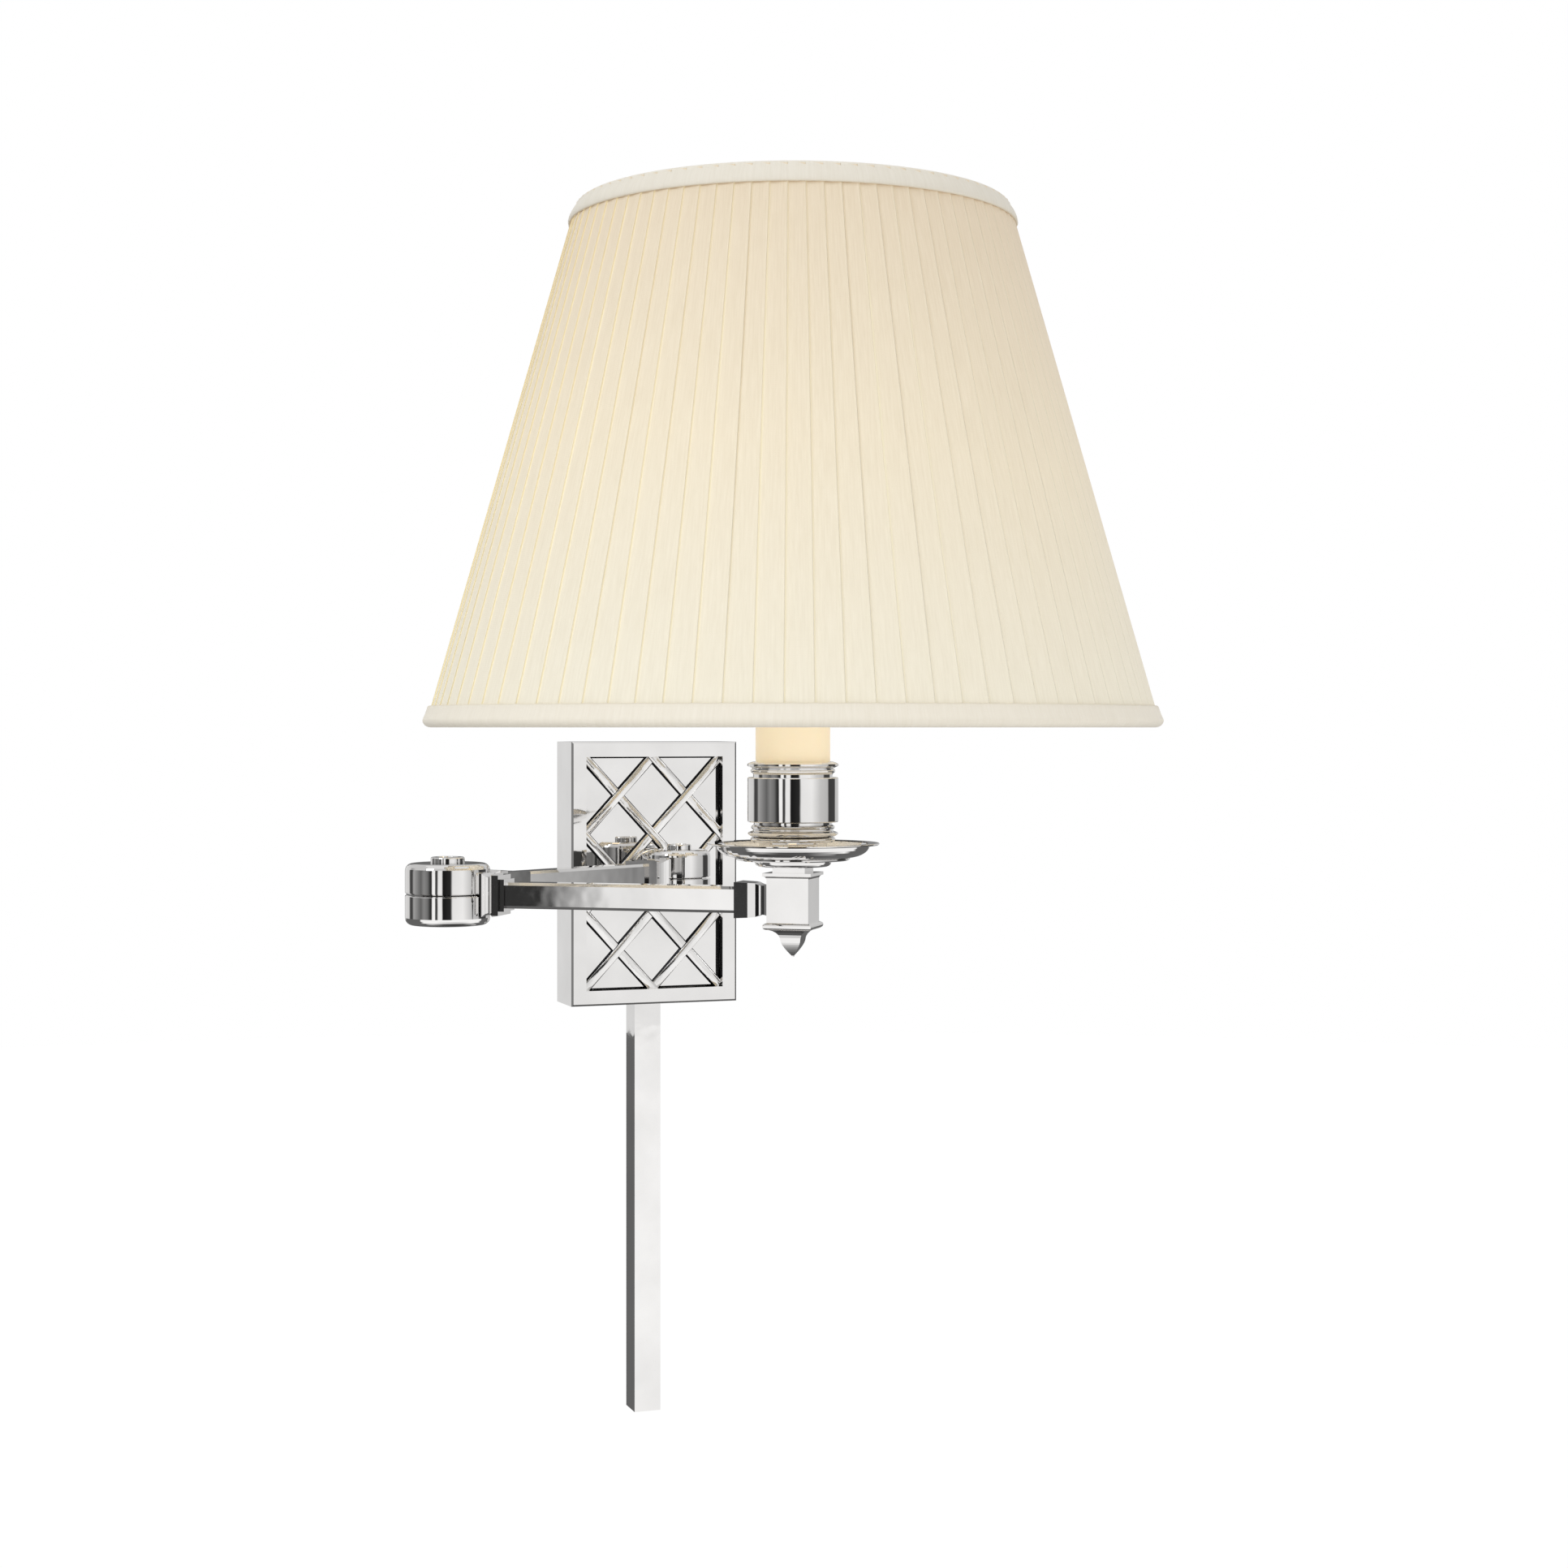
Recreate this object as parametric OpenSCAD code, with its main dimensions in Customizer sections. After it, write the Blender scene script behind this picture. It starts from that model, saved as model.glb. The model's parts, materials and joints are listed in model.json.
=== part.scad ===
// Swing arm wall sconce with a candle cup and a pleated cone shade.
// Millimetres. The wall is the plane y = 0, the light stands out towards -Y, and +Z is up.
// The origin is the centre of the mounting crossbar's back face, level with the arms.

/* [Back plate] */
// Width of the back plate
plate_w = 92; // [84:1:110]
// Height of the back plate
plate_h = 140; // [134:2:170]
// Depth of the back plate from the wall to its raised frame
plate_d = 30; // [26:1:36]
// Width of the plain frame round the lattice
frame_w = 8; // [6:0.5:12]
// Depth of the lattice floor below the frame
recess_d = 6; // [4:0.5:8]

/* [Arms] */
// Length of each arm from pivot to pivot
arm_len = 167; // [150:1:200]
// Distance from the wall to the wall pivot
pivot_out = 72; // [66:1:84]
// Diameter of the wall knuckle
wall_knuckle_d = 32.5; // [30:0.5:34]
// Diameter of the elbow knuckle
elbow_knuckle_d = 39.5; // [36:0.5:40]
// Height of both knuckles
knuckle_h = 28.8; // [27:0.2:32]
// Height of the rear bar
rear_bar_h = 16.8; // [14:0.2:18]
// Width of the rear bar
rear_bar_w = 13; // [11:0.5:14]
// Height of the front bar
front_bar_h = 12; // [10:0.2:14]
// Width of the front bar
front_bar_w = 11.5; // [10:0.5:13]

/* [Pose at rest] */
// Direction of the rear arm from the wall pivot, in degrees
rear_angle = 212.1; // [195:0.1:250]
// Direction of the front arm from the elbow, in degrees
front_angle = -35.4; // [-90:0.1:-20]

/* [Lamp] */
// Width of the square lamp block
block_w = 19.3; // [17:0.1:21]
// Diameter of the drip pan
pan_d = 77.7; // [70:0.1:90]
// Diameter of the candle cup's body
cup_d = 40.9; // [40:0.1:46]
// Diameter of the candle sleeve
sleeve_d = 33.5; // [33.5:0.1:34]
// Height of the candle sleeve's top above the arms
sleeve_top = 150; // [140:1:160]

/* [Shade] */
// Outer diameter of the fabric at the bottom edge
shade_bottom_d = 328.6; // [300:0.2:360]
// Outer diameter of the fabric at the top edge
shade_top_d = 194.4; // [180:0.2:220]
// Height of the shade
shade_h = 234; // [220:1:250]
// Height of the shade's bottom edge above the arms
shade_z = 77.5; // [74:0.5:84]
// Height of the rolled bands at both edges
trim_h = 9.8; // [8:0.2:12]

/* [Cord cover] */
// Width of the cord cover
cover_w = 14.5; // [13:0.5:18]
// Depth of the cord cover from the wall
cover_d = 16; // [14:0.5:20]
// Length of the cord cover below the back plate
cover_len = 221; // [180:1:300]

/* [Hidden] */
$fn = 96;

nickel = [0.78, 0.78, 0.79];
steel = [0.62, 0.63, 0.65];
brass = [0.80, 0.66, 0.36];
ivory = [0.95, 0.92, 0.84];
cream = [0.99, 0.90, 0.73];
black = [0.08, 0.08, 0.08];
green = [0.10, 0.45, 0.20];
white = [0.95, 0.95, 0.93];

arc_step = 15;
cut = 1;
fixed_gap = 0.02;
run_gap = 0.06;
face_gap = 0.05;
turn_gap = 0.4;

// back plate
skin = 2;
floor_y = plate_d - recess_d;
edge_chamfer = 1;
recess_w = plate_w - 2 * frame_w;
recess_h = plate_h - 2 * frame_w;
strap_w = 4.8;
strap_top = 3.4;
strap_t = 1.3;
strap_over = 0.9;
cell_w = recess_w / 4;
cell_h = recess_h / 6;
strap_angle = atan2(cell_h, cell_w);

// mounting crossbar and the screws into it
bar_t = 2;
bar_w = 20;
bar_gap = 0.3;
ear_d = 16;
ear_y = 9;
bar_end = plate_h / 2 - skin - bar_gap;
screw_r = 1.5;
screw_head_r = 3.2;
screw_head_h = 2;
grub_z = bar_end - bar_t - 2;
slot_w = 0.8;
slot_depth = 0.9;
wall_hole_spacing = 83;
wall_hole_r = 2.2;
ground_z = -24;

// threaded tubes and nuts
nipple_r = 4.9;
nipple_bore = 3.4;
nut_r = 8.5;
nut_h = 3;
neck_nipple_in = 8;
neck_nipple_back = 10;

// knuckles, pivots and necks
wall_r = wall_knuckle_d / 2;
elbow_r = elbow_knuckle_d / 2;
half_h = knuckle_h / 2;
seam = 0.3;
seam_chamfer = 0.5;
edge_r = 3.5;
pivot_r = 5;
pivot_bottom = -10;
pivot_top = half_h + 1.5;
washer_r = 12;
cap_h = 2.8;
wall_cap_r = 6.2;
elbow_cap_r = 7.9;
wire_way_r = 3;
neck_half_w = 7;
neck_half_h = 10;
neck_dip = 1.8;
plate_boss_r = 13;
plate_boss_t = 3.5;

// rear arm
wall_collar = [27, 33];
wall_collar_half = [8, 9.6];
rear_collar = [34, 49];
rear_flange_half = [8, 9.75];
bar_chamfer = 1.3;

// front arm
elbow_flange = [25, 28.3];
elbow_flange_half = [8, 9.3];
elbow_step = 30.7;
elbow_step_half = [6.6, 7.4];
collar_start = 141.5;
collar_end = 147.8;
collar_bevel = 150.5;
collar_half = [7.6, 8.1];
collar_waist = [5.4, 6.4];

// lamp block, its mouldings and its finial
block_top = 9.5;
block_bottom = -9.8;
moulding_half = 11.25;
cap_top = 12.5;
cap_neck_half = 7.5;
cap_neck_top = 15.2;
roll_bottom = -12.75;
ogee_waist = [4.6, -18];
ogee_top = [10.4, -12.8];
finial_tip = -25.5;

// pan, cup and sleeve
boss_r = 17.35;
ring_r = 25.65;
boss_top = 18;
ring_top = 19.3;
pan_t = 1.2;
pan_floor_r = 25;
pan_bowl_r = 34.6;
pan_rim_z = 25;
cup_floor_z = 30.5;
cup_top = 62.2;
cup_r = cup_d / 2;
sleeve_r = sleeve_d / 2;
sleeve_t = 1.2;
sleeve_gap = 0.3;

// lamp holder and bulb
cap_z = 106;
core_z = 114.5;
core_top = 124;
shell_r = 14.9;
shell_t = 0.6;
shell_top = 160;
liner_r = 14.2;
liner_t = 0.6;
core_r = 13.5;
screw_shell_r = 13.5;
screw_shell_t = 0.35;
contact_z = 127;
bulb_base_r = 13;
bulb_base_z = [131, 157];
bulb_r = 30;
bulb_centre_z = 208;
glass_t = 0.8;
bulb_neck_r = 12.4;

// turn knob, square to the lamp's axis
switch_z = 119.3;
stem_r = 1.5;
stem_in = 7;
stem_out = 22;
knob_out = 31;
knob_in = 18.5;
knob_hub_r = 3.4;
knob_wing = [9, 3, 13];

// shade
fabric_t = 2.2;
liner_in = 2.6;
shade_liner_t = 0.7;
wire_in = 5;
wire_r = 1.3;
band_t = 1.3;
band_out = 1.5;
band_in = 7.6;
shade_top_z = shade_z + shade_h;
shade_slope = (shade_bottom_d - shade_top_d) / 2 / shade_h;
wire_low_z = shade_z + 3.2;
wire_high_z = shade_top_z - 3.2;
rib_count = 6;
spoke_count = 3;
spoke_r = 1.4;
spoke_turn = 5.4;
spoke_end_z = shade_top_z - trim_h - 3;
fitter_z = sleeve_top + 0.5;
fitter_t = 1.6;
fitter_r = 22;
clamp_ring_h = 6;
clamp_ring_r = 20.5;

// cord cover
cover_t = 1.2;
clip_z = [-110, -250];
clip_h = 18;
clip_leg = 0.8;
clip_hole_r = 1.8;

function shade_r(z) = shade_bottom_d / 2 - shade_slope * (z - shade_z);
function reversed(p) = [for (i = [len(p) - 1 : -1 : 0]) p[i]];
function mirror_x(p) = concat(p, [for (q = reversed(p)) [-q[0], q[1]]]);
function mirror_y(p) = concat(p, [for (q = reversed(p)) [q[0], -q[1]]]);
function arc(c, r, a0, a1) =
    [for (i = [0 : 6]) let (a = a0 + (a1 - a0) * i / 6) [c[0] + r * cos(a), c[1] + r * sin(a)]];
function scoop(x0, x1, y, dip) = [for (i = [0 : 8]) [x0 + (x1 - x0) * i / 8, y - dip * sin(22.5 * i)]];

module at_rear() translate([0, -pivot_out, 0]) rotate([0, 0, rear_angle]) children();
module at_elbow() at_rear() translate([arm_len, 0, 0]) children();
module at_front() at_elbow() rotate([0, 0, front_angle - rear_angle]) children();
module at_lamp() at_front() translate([arm_len, 0, 0]) children();
module along_y() rotate([90, 0, 0]) children();
module along_x() rotate([90, 0, 90]) children();

module tube(r_out, r_in, z0, z1) translate([0, 0, z0]) difference() {
    cylinder(r = r_out, h = z1 - z0);
    translate([0, 0, -cut]) cylinder(r = r_in, h = z1 - z0 + 2 * cut);
}

module turned(points) rotate_extrude() polygon(points);

// a solid that is square in plan and has the same profile of [half width, z] on all four sides
module square_turned(profile) {
    reach = 2 * max([for (p = profile) p[0]]) + cut;
    intersection() {
        along_y() linear_extrude(reach, center = true) polygon(mirror_x(profile));
        along_x() linear_extrude(reach, center = true) polygon(mirror_x(profile));
    }
}

// a solid along X from a plan of [x, half width] and a side view of [x, half height]
module profiled(plan, side) intersection() {
    linear_extrude(2 * half_h + cut, center = true) polygon(mirror_y(plan));
    along_y() linear_extrude(2 * half_h + cut, center = true) polygon(mirror_y(side));
}

module block_x(x, half) translate([x[0], -half[0], -half[1]]) cube([x[1] - x[0], 2 * half[0], 2 * half[1]]);

module chamfered(w, h, c) polygon([
    [w / 2 - c, -h / 2], [w / 2, c - h / 2], [w / 2, h / 2 - c], [w / 2 - c, h / 2],
    [c - w / 2, h / 2], [-w / 2, h / 2 - c], [-w / 2, c - h / 2], [c - w / 2, -h / 2]
]);

module bar(x0, x1, w, h) difference() {
    translate([x0, 0, 0]) along_x() linear_extrude(x1 - x0) chamfered(w, h, bar_chamfer);
    wire_way(x0 - cut, x1 + cut);
}

module wire_way(x0, x1) translate([x0, 0, 0]) rotate([0, 90, 0]) cylinder(r = wire_way_r, h = x1 - x0);

// two leads side by side along X
module lead_pair(x0, x1) for (side = [-1, 1])
    translate([x0, side * 1.3, 0]) rotate([0, 90, 0]) cylinder(r = 1.1, h = x1 - x0, $fn = 24);

module hex(r, z0, z1) translate([0, 0, z0]) cylinder(r = r, h = z1 - z0, $fn = 6);

// upper half of a knuckle, from the seam up to its rounded top edge
module knuckle_half(r) turned(concat(
    [[0, seam], [r - seam_chamfer, seam], [r, seam + seam_chamfer]],
    arc([r - edge_r, half_h - edge_r], edge_r, 0, 90),
    [[0, half_h]]
));

// neck from a knuckle along X, scooped between the knuckle and the flange at x1
module neck(r, x1) profiled(
    concat([[r / 2, neck_half_w]], scoop(r, x1, neck_half_w, neck_dip)),
    concat([[r / 2, neck_half_h]], scoop(r, x1, neck_half_h, neck_dip))
);

// room for the other half of the knuckle, below the seam
module other_half(r) translate([0, 0, -2 * half_h]) cylinder(r = r + turn_gap, h = 2 * half_h + seam);

module pivot_bore(z0, z1, gap) translate([0, 0, z0]) cylinder(r = pivot_r + gap, h = z1 - z0);

module pivot_tube() tube(pivot_r, nipple_bore, pivot_bottom, pivot_top);

module pivot_washer() tube(washer_r, pivot_r + fixed_gap, -seam, seam - face_gap);

module pivot_cap(r) difference() {
    turned(concat(
        [[0, half_h + face_gap], [r, half_h + face_gap]],
        arc([r - 0.8, half_h + cap_h - 0.8], 0.8, 0, 90),
        [[r * 0.62, half_h + cap_h], [r * 0.58, half_h + cap_h - 0.5], [0, half_h + cap_h - 0.5]]
    ));
    pivot_bore(half_h - cut, pivot_top + fixed_gap, fixed_gap);
}

// ---- fixed to the wall ----

module mounting_crossbar() color(steel) difference() {
    union() {
        translate([-bar_w / 2, -bar_t, -bar_end]) cube([bar_w, bar_t, 2 * bar_end]);
        for (s = [-1, 1]) translate([-bar_w / 2, -ear_d, s * (bar_end - bar_t / 2) - bar_t / 2])
            cube([bar_w, ear_d, bar_t]);
    }
    for (s = [-1, 1]) {
        translate([0, cut, s * wall_hole_spacing / 2]) along_y() cylinder(r = wall_hole_r, h = bar_t + 2 * cut);
        translate([0, -ear_y, s * (bar_end - bar_t / 2) - bar_t / 2 - cut])
            cylinder(r = screw_r + fixed_gap, h = bar_t + 2 * cut);
    }
    translate([0, cut, ground_z]) along_y() cylinder(r = screw_r + fixed_gap, h = bar_t + 2 * cut);
}

module screw(z_head, z_tip) {
    cylinder_h = z_head - z_tip;
    difference() {
        turned(concat(
            [[0, z_head], [screw_head_r, z_head]],
            arc([screw_head_r - 0.7, z_head + screw_head_h - 0.7], 0.7, 0, 90),
            [[0, z_head + screw_head_h]]
        ));
        translate([-screw_head_r - cut, -slot_w / 2, z_head + screw_head_h - slot_depth])
            cube([2 * screw_head_r + 2 * cut, slot_w, slot_depth + cut]);
    }
    translate([0, 0, z_tip]) cylinder(r = screw_r, h = cylinder_h);
}

// two headless screws, flush with the plate's top and bottom, threaded into the crossbar's ears
module plate_screws() color(nickel) for (turn = [0, 180])
    rotate([0, turn, 0]) translate([0, -ear_y, 0]) difference() {
        translate([0, 0, grub_z]) cylinder(r = screw_r, h = plate_h / 2 - grub_z - face_gap);
        translate([-screw_r - cut, -slot_w / 2, plate_h / 2 - slot_depth])
            cube([2 * (screw_r + cut), slot_w, slot_depth + cut]);
    }

module ground_screw() color(green) translate([0, 0, ground_z]) along_y() screw(bar_t, 0);

module back_plate() color(nickel) difference() {
    union() {
        translate([-plate_w / 2, -plate_d + edge_chamfer, -plate_h / 2])
            cube([plate_w, plate_d - edge_chamfer, plate_h]);
        intersection() {
            translate([-plate_w / 2, -plate_d, -plate_h / 2]) cube([plate_w, plate_d, plate_h]);
            plate_edge(plate_w, plate_h, false);
            plate_edge(plate_h, plate_w, true);
        }
    }
    translate([-recess_w / 2, -plate_d - cut, -recess_h / 2]) cube([recess_w, recess_d + cut, recess_h]);
    translate([skin - plate_w / 2, skin - floor_y, skin - plate_h / 2])
        cube([plate_w - 2 * skin, floor_y, plate_h - 2 * skin]);
    along_y() cylinder(r = nipple_r + fixed_gap, h = plate_d + cut);
    for (s = [-1, 1]) translate([0, -ear_y, s * (plate_h / 2 - skin / 2) - skin])
        cylinder(r = screw_r + face_gap, h = 2 * skin);
    translate([cover_t - cover_w / 2, -cover_d + cover_t, -plate_h / 2 - cut])
        cube([cover_w - 2 * cover_t, cover_d - cover_t + cut, skin + 2 * cut]);
}

// the bevel along two opposite front edges
module plate_edge(span, other, upright) {
    outline = [
        [-span / 2, 0], [-span / 2, edge_chamfer - plate_d], [edge_chamfer - span / 2, -plate_d],
        [span / 2 - edge_chamfer, -plate_d], [span / 2, edge_chamfer - plate_d], [span / 2, 0]
    ];
    rotate([0, upright ? 90 : 0, 0]) linear_extrude(other, center = true) polygon(outline);
}

// one strap: direction is 1 when it climbs to the right, and line is its odd number
module strap(direction, line, top) translate([line * cell_w, -floor_y, 0])
    rotate([0, -direction * strap_angle, 0]) along_x() linear_extrude(2 * plate_h, center = true)
        polygon([[0, -strap_w / 2], [-top, -strap_top / 2], [-top, strap_top / 2], [0, strap_w / 2]]);

module lattice_panel() color(nickel) difference() {
    intersection() {
        translate([-recess_w / 2, -plate_d, -recess_h / 2]) cube([recess_w, plate_d, recess_h]);
        union() {
            for (line = [-3 : 2 : 3], direction = [-1, 1]) strap(direction, line, strap_t);
            for (u = [-1 : 1], v = [-2 : 2]) if ((u + v) % 2 != 0) strap_bridge(u, v);
        }
    }
    along_y() cylinder(r = plate_boss_r + face_gap, h = plate_d + cut);
}

// the raised stretch where one strap passes over the other at the crossing (u, v)
module strap_bridge(u, v) {
    direction = (u % 2 != 0) ? 1 : -1;
    top = strap_t + strap_over;
    ends = [4.2, 7.2];
    outline = [[-ends[1], 0], [ends[1], 0], [ends[0], top], [-ends[0], top]];
    translate([u * cell_w, -floor_y, v * cell_h]) rotate([0, -direction * strap_angle, 0])
        rotate([180, 0, 0]) linear_extrude(strap_top, center = true) polygon(outline);
}

module neck_nipple() color(brass) along_y()
    tube(nipple_r, nipple_bore, floor_y - neck_nipple_back, floor_y + neck_nipple_in);

module neck_nut() color(brass) along_y() difference() {
    hex(nut_r, floor_y - skin - nut_h, floor_y - skin);
    translate([0, 0, floor_y - skin - nut_h - cut]) cylinder(r = nipple_r + fixed_gap, h = nut_h + 2 * cut);
}

module wall_knuckle() color(nickel) translate([0, -pivot_out, 0]) difference() {
    union() {
        mirror([0, 0, 1]) knuckle_half(wall_r);
        difference() {
            rotate([0, 0, 90]) {
                neck(wall_r, pivot_out - floor_y - 6);
                block_x(
                    [pivot_out - floor_y - 6.1, pivot_out - floor_y - plate_boss_t + 0.1],
                    [neck_half_w, neck_half_h]
                );
            }
            mirror([0, 0, 1]) other_half(wall_r);
        }
        translate([0, pivot_out - floor_y, 0]) along_y() turned(concat(
            [[0, 0], [plate_boss_r, 0]],
            arc([plate_boss_r - 1.5, plate_boss_t - 1.5], 1.5, 0, 90),
            [[0, plate_boss_t]]
        ));
    }
    pivot_bore(pivot_bottom, half_h, fixed_gap);
    translate([0, pivot_out - floor_y + cut, 0]) along_y()
        cylinder(r = nipple_r + fixed_gap, h = neck_nipple_in + cut);
    rotate([0, 0, 90]) translate([0, 0, -4]) wire_way(0, pivot_out - floor_y - neck_nipple_in + cut);
}

module wall_pivot_tube() color(brass) translate([0, -pivot_out, 0]) pivot_tube();

module wall_pivot_washer() color(white) translate([0, -pivot_out, 0]) pivot_washer();

module wall_pivot_cap() color(nickel) translate([0, -pivot_out, 0]) pivot_cap(wall_cap_r);

module wire_connectors() color(black) for (s = [-1, 1])
    translate([s * 17, -12, -42]) difference() {
        cylinder(r1 = 6, r2 = 4.2, h = 20);
        translate([0, 0, 11]) cylinder(r = 2.6, h = 10);
    }

// leads from the nipple's end down into the two connectors
module plate_wires() color(white) for (s = [-1, 1]) {
    translate([s * 17, -12, -30]) cylinder(r = 1.1, h = 30, $fn = 24);
    translate([s * 17, -12, 0]) sphere(r = 1.1, $fn = 24);
    translate([s * 1.4, -12, 0]) rotate([0, s * 90, 0]) cylinder(r = 1.1, h = 15.6, $fn = 24);
}

module cord_cover() color(nickel) translate([0, 0, -plate_h / 2 - cover_len]) difference() {
    translate([-cover_w / 2, -cover_d, 0]) cube([cover_w, cover_d, cover_len]);
    translate([cover_t - cover_w / 2, cover_t - cover_d, -cut])
        cube([cover_w - 2 * cover_t, cover_d, cover_len + 2 * cut]);
}

module cord_cover_clips() color(steel) for (z = clip_z) translate([0, 0, z]) {
    inner = cover_w - 2 * cover_t - 2 * face_gap;
    difference() {
        union() {
            translate([-inner / 2, -1, -clip_h / 2]) cube([inner, 1, clip_h]);
            for (s = [-1, 1]) translate([s * (inner - clip_leg) / 2 - clip_leg / 2, -6, -clip_h / 2])
                cube([clip_leg, 6, clip_h]);
        }
        translate([0, cut, 0]) along_y() cylinder(r = clip_hole_r, h = 2 + cut);
    }
}

// ---- rear arm ----

module rear_arm_knuckle() color(nickel) at_rear() difference() {
    union() {
        knuckle_half(wall_r);
        difference() {
            union() {
                neck(wall_r, wall_collar[0]);
                block_x(wall_collar, wall_collar_half);
            }
            other_half(wall_r);
        }
    }
    pivot_bore(0, half_h + cut, run_gap);
    translate([0, 0, 4.5]) wire_way(0, wall_collar[0]);
    wire_way(wall_collar[0] - 5, wall_collar[1] + cut);
}

module rear_arm_bar() color(nickel) at_rear()
    bar(wall_collar[1], arm_len - rear_collar[1], rear_bar_w, rear_bar_h);

module rear_arm_elbow() color(nickel) at_elbow() rotate([0, 0, 180]) difference() {
    union() {
        mirror([0, 0, 1]) knuckle_half(elbow_r);
        difference() {
            union() {
                neck(elbow_r, rear_collar[0] - 6);
                block_x([rear_collar[0] - 6.1, rear_collar[0] - 2], rear_flange_half);
                profiled(
                    [[rear_collar[0] - 2.1, neck_half_w], [rear_collar[1], rear_bar_w / 2]],
                    concat(
                        [[rear_collar[0] - 2.1, rear_flange_half[1] - 0.8]],
                        [[rear_collar[0] + 5, rear_flange_half[1] - 1]],
                        [[rear_collar[1], rear_bar_h / 2]]
                    )
                );
            }
            mirror([0, 0, 1]) other_half(elbow_r);
        }
    }
    pivot_bore(pivot_bottom, half_h, fixed_gap);
    translate([0, 0, -4]) wire_way(0, rear_collar[0]);
    wire_way(rear_collar[0] - 7, rear_collar[1] + cut);
}

module elbow_pivot_tube() color(brass) at_elbow() pivot_tube();

module elbow_pivot_washer() color(white) at_elbow() pivot_washer();

module elbow_pivot_cap() color(nickel) at_elbow() pivot_cap(elbow_cap_r);

module rear_arm_wires() color(white) at_rear() lead_pair(wall_collar[1] - 8, arm_len - rear_collar[0] + 4);

// ---- front arm ----

module front_arm_knuckle() color(nickel) at_front() difference() {
    union() {
        knuckle_half(elbow_r);
        difference() {
            union() {
                neck(elbow_r, elbow_flange[0]);
                block_x(elbow_flange, elbow_flange_half);
                block_x([elbow_flange[1] - 0.1, elbow_step], elbow_step_half);
            }
            other_half(elbow_r);
        }
    }
    pivot_bore(0, half_h + cut, run_gap);
    translate([0, 0, 4.5]) wire_way(0, elbow_flange[0]);
    wire_way(elbow_flange[0] - 2, elbow_step + cut);
}

module front_arm_bar() color(nickel) at_front() bar(elbow_step, collar_start, front_bar_w, front_bar_h);

module front_arm_collar() color(nickel) at_front() difference() {
    profiled(
        concat(
            [[collar_start, collar_half[0]], [collar_end, collar_half[0] - 0.4]],
            [[collar_bevel, collar_waist[0]]],
            scoop(collar_bevel + 0.4, arm_len - block_w / 2, collar_waist[0], 0.6)
        ),
        concat(
            [[collar_start, collar_half[1]], [collar_end, collar_half[1] - 0.3]],
            [[collar_bevel, collar_half[1] - 0.5]],
            scoop(collar_bevel + 0.4, arm_len - block_w / 2, collar_half[1] - 0.7, 0.9)
        )
    );
    wire_way(collar_start - cut, arm_len);
}

module lamp_block() color(nickel) at_lamp() difference() {
    translate([-block_w / 2, -block_w / 2, block_bottom]) cube([block_w, block_w, block_top - block_bottom]);
    translate([0, 0, block_bottom + 3]) cylinder(r = nipple_r + fixed_gap, h = block_top - block_bottom);
    wire_way(-block_w, 0);
}

module block_cap() color(nickel) at_lamp() difference() {
    square_turned(concat(
        [[block_w / 2, block_top]],
        reversed(arc([moulding_half, block_top], 1.6, 90, 180)),
        [[moulding_half, block_top + 1.7], [moulding_half, cap_top], [cap_neck_half, cap_top]],
        [[cap_neck_half, cap_neck_top]]
    ));
    translate([0, 0, block_top - cut]) cylinder(r = nipple_r + fixed_gap, h = 3 * nut_h);
}

module finial() color(nickel) at_lamp() square_turned(concat(
    [[0.4, finial_tip]],
    [for (t = [0.92 : -0.115 : 0.1])
        [ogee_waist[0] * (1 - pow(t, 1.4)), ogee_waist[1] + (finial_tip - ogee_waist[1]) * t]],
    [for (a = [90 : -arc_step : 0]) [
        ogee_top[0] - (ogee_top[0] - ogee_waist[0]) * sin(a),
        ogee_top[1] + (ogee_waist[1] - ogee_top[1]) * (1 - cos(a))
    ]],
    arc([moulding_half - 1.35, (roll_bottom + block_bottom) / 2 - 0.1], 1.35, -80, 70),
    [[block_w / 2, block_bottom]]
));

module bored(z0, z1) difference() {
    children();
    translate([0, 0, z0 - cut]) cylinder(r = nipple_r + fixed_gap, h = z1 - z0 + 2 * cut);
}

module pan_boss() color(nickel) at_lamp() bored(cap_neck_top, boss_top) turned(concat(
    [[0, cap_neck_top]],
    arc([boss_r - 2.4, boss_top - 0.4], 2.4, -90, 0),
    [[boss_r, boss_top], [0, boss_top]]
));

module pan_ring() color(nickel) at_lamp() bored(boss_top, ring_top) turned([
    [0, boss_top], [ring_r - 1, boss_top], [ring_r, boss_top + 0.5], [ring_r, ring_top - 0.3],
    [ring_r - 0.6, ring_top], [0, ring_top]
]);

// profile of the dish, at a height above its underside
function bowl(up) = [for (a = [0 : 10 : 80])
    [pan_floor_r + (pan_bowl_r - pan_floor_r) * sin(a), ring_top + up + (pan_rim_z - ring_top) * (1 - cos(a))]];

module drip_pan() color(nickel) at_lamp() bored(ring_top, pan_rim_z) turned(concat(
    [[0, ring_top]],
    bowl(0),
    [[pan_bowl_r, pan_rim_z - 0.5], [pan_d / 2 - 0.4, pan_rim_z - 0.1], [pan_d / 2, pan_rim_z + 0.2]],
    [[pan_d / 2, pan_rim_z + 0.6], [pan_d / 2 - 0.3, pan_rim_z + 0.8], [pan_bowl_r - 0.6, pan_rim_z + 0.7]],
    reversed(bowl(pan_t)),
    [[0, ring_top + pan_t]]
));

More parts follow.
